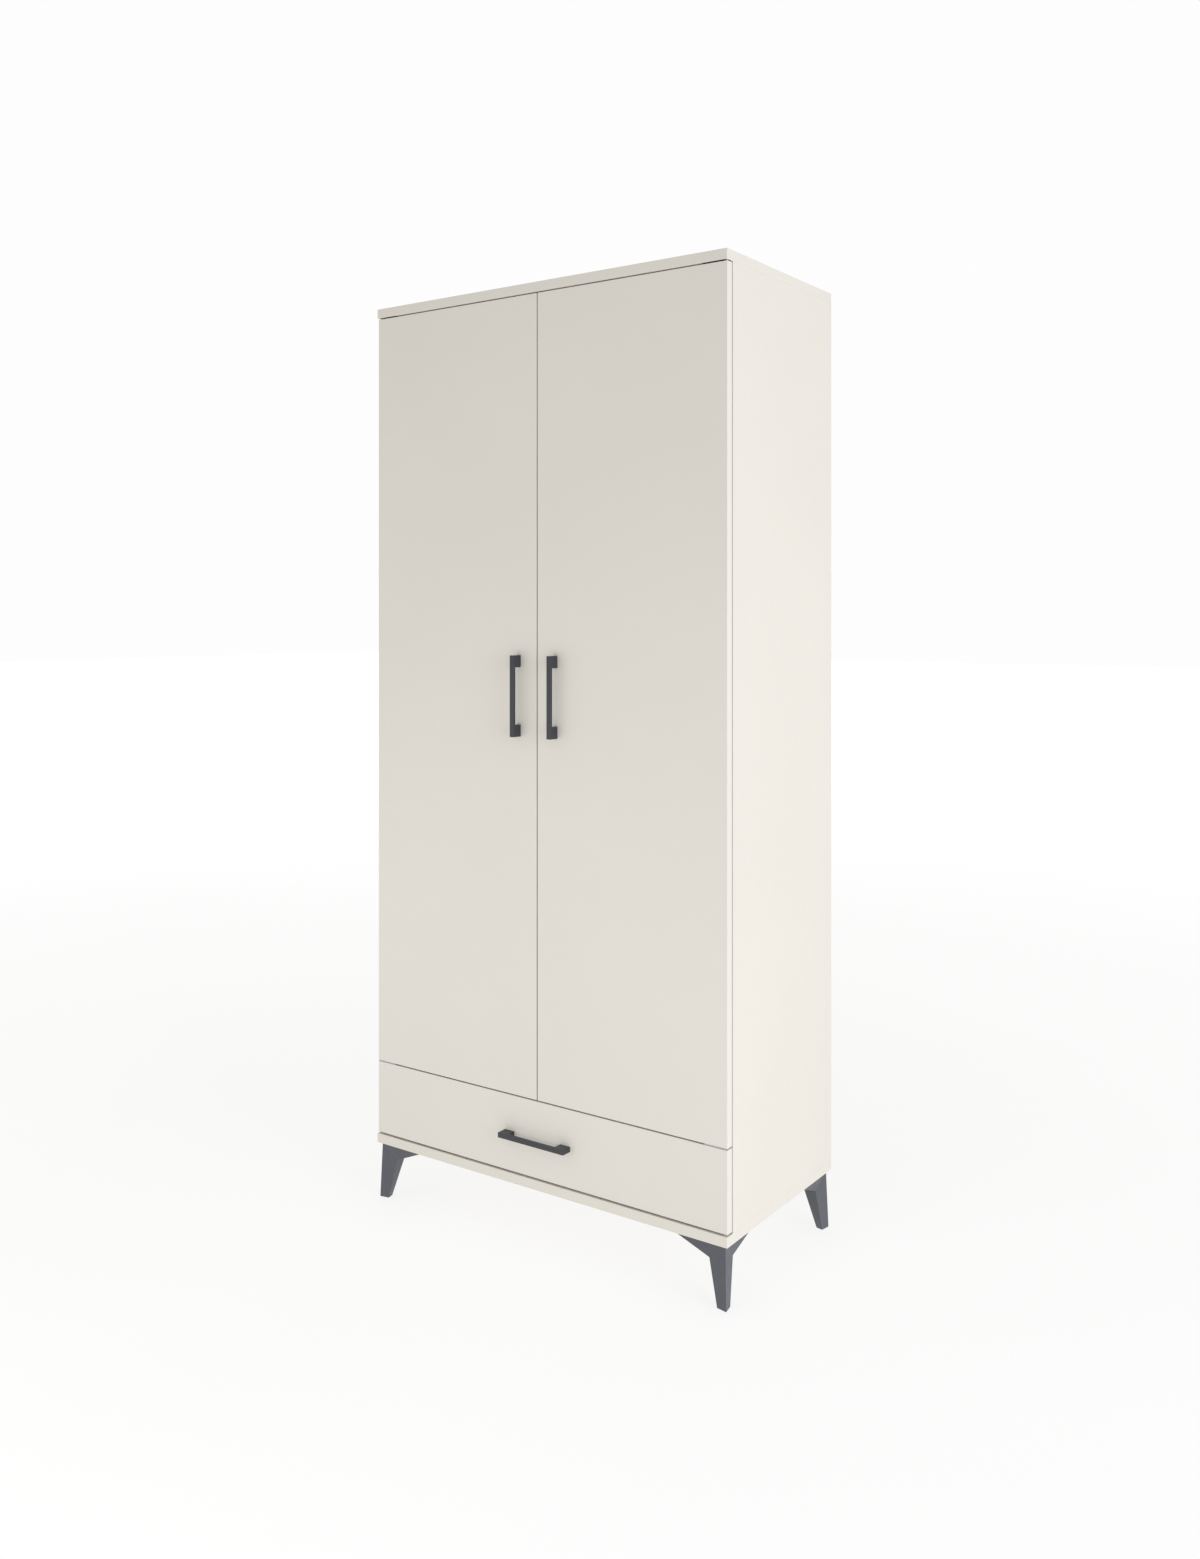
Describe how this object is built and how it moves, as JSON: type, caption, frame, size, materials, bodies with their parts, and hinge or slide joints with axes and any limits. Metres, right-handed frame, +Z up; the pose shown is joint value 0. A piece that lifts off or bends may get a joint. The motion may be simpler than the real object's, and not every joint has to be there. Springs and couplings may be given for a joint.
{
  "type": "wardrobe",
  "caption": "Tall narrow wardrobe: hinged doors over a full-width drawer, slim square bar handles and faceted splayed corner legs.",
  "frame": {"origin": "on the floor, under the centre of the whole object's footprint, handles included", "axes": "+Z up, the front towards -Y, +X to the right as seen from the front"},
  "size_m": [0.8, 0.416, 1.77],
  "materials": {
    "front_board": "smooth matt cream laminate",
    "carcass_board": "smooth matt cream laminate",
    "drawer_board": "smooth matt cream laminate",
    "hardboard": "lacquered thin fibre board",
    "white_plastic": "moulded satin",
    "steel_nail": "zinc plated",
    "zinc_fitting": "die cast zinc",
    "fastener_steel": "zinc plated",
    "beech": "fluted beech",
    "bracket_steel": "zinc plated",
    "leg_plastic": "satin anthracite",
    "glide_plastic": "matt black",
    "rail_chrome": "polished",
    "holder_metal": "satin zinc",
    "magnet": "dark ferrite",
    "bumper_rubber": "soft translucent",
    "handle_metal": "satin anthracite lacquer",
    "runner_steel": "zinc plated"
  },
  "bodies": {
    "carcass": {"back_joint_strip": "white_plastic", "back_nails": "steel_nail", "bottom_panel": "carcass_board", "bumpers": "bumper_rubber", "cam_bolts": "fastener_steel", "cam_locks": "zinc_fitting", "carcass_screws": "fastener_steel", "catch_magnet": "magnet", "clothes_rail": "rail_chrome", "divider_panel": "carcass_board", "foot_glides": "glide_plastic", "front_left_leg": "leg_plastic", "front_right_leg": "leg_plastic", "hat_shelf": "carcass_board", "left_back_panel": "hardboard", "left_cabinet_runner": "runner_steel", "left_lower_pivot": "bracket_steel", "left_side_panel": "carcass_board", "left_top_pivot": "bracket_steel", "left_wall_bracket": "bracket_steel", "magnetic_catch": "white_plastic", "rail_front_holder": "holder_metal", "rail_rear_holder": "holder_metal", "rear_left_leg": "leg_plastic", "rear_right_leg": "leg_plastic", "right_back_panel": "hardboard", "right_cabinet_runner": "runner_steel", "right_lower_pivot": "bracket_steel", "right_side_panel": "carcass_board", "right_top_pivot": "bracket_steel", "right_wall_bracket": "bracket_steel", "top_panel": "carcass_board", "wood_dowels": "beech"},
    "left_leaf": {"left_door": "front_board", "left_door_plates": "bracket_steel", "left_door_plate_screws": "fastener_steel", "left_door_handle": "handle_metal", "left_door_handle_screws": "fastener_steel", "left_door_strike": "bracket_steel"},
    "right_leaf": {"right_door": "front_board", "right_door_plates": "bracket_steel", "right_door_plate_screws": "fastener_steel", "right_door_handle": "handle_metal", "right_door_handle_screws": "fastener_steel", "right_door_strike": "bracket_steel"},
    "drawer": {"drawer_front": "front_board", "left_drawer_side": "drawer_board", "right_drawer_side": "drawer_board", "drawer_back": "drawer_board", "drawer_bottom": "hardboard", "drawer_handle": "handle_metal", "drawer_handle_screws": "fastener_steel", "drawer_cam_locks": "zinc_fitting", "drawer_cam_bolts": "fastener_steel", "drawer_back_screws": "fastener_steel", "left_drawer_runner": "runner_steel", "right_drawer_runner": "runner_steel", "drawer_runner_screws": "fastener_steel"},
    "runner_slides": {"left_middle_runner": "runner_steel", "right_middle_runner": "runner_steel"}
  },
  "joints": [
    {"name": "left_door_hinge", "type": "hinge", "parent": "carcass", "child": "left_leaf", "pos_m": [-0.395, -0.1815, 1.0115], "axis": [0, 0, -1], "range_deg": [0, 110]},
    {"name": "right_door_hinge", "type": "hinge", "parent": "carcass", "child": "right_leaf", "pos_m": [0.395, -0.1815, 1.0115], "axis": [0, 0, 1], "range_deg": [0, 110]},
    {"name": "drawer_slide", "type": "slide", "parent": "carcass", "child": "drawer", "axis": [0, -1, 0], "range_m": [0, 0.33]},
    {"name": "runner_slide", "type": "slide", "parent": "carcass", "child": "runner_slides", "axis": [0, -1, 0], "range_m": [0, 0.165]}
  ],
  "couplings": [
    {"joint": "runner_slide", "follows": "drawer_slide", "ratio": 0.5}
  ]
}
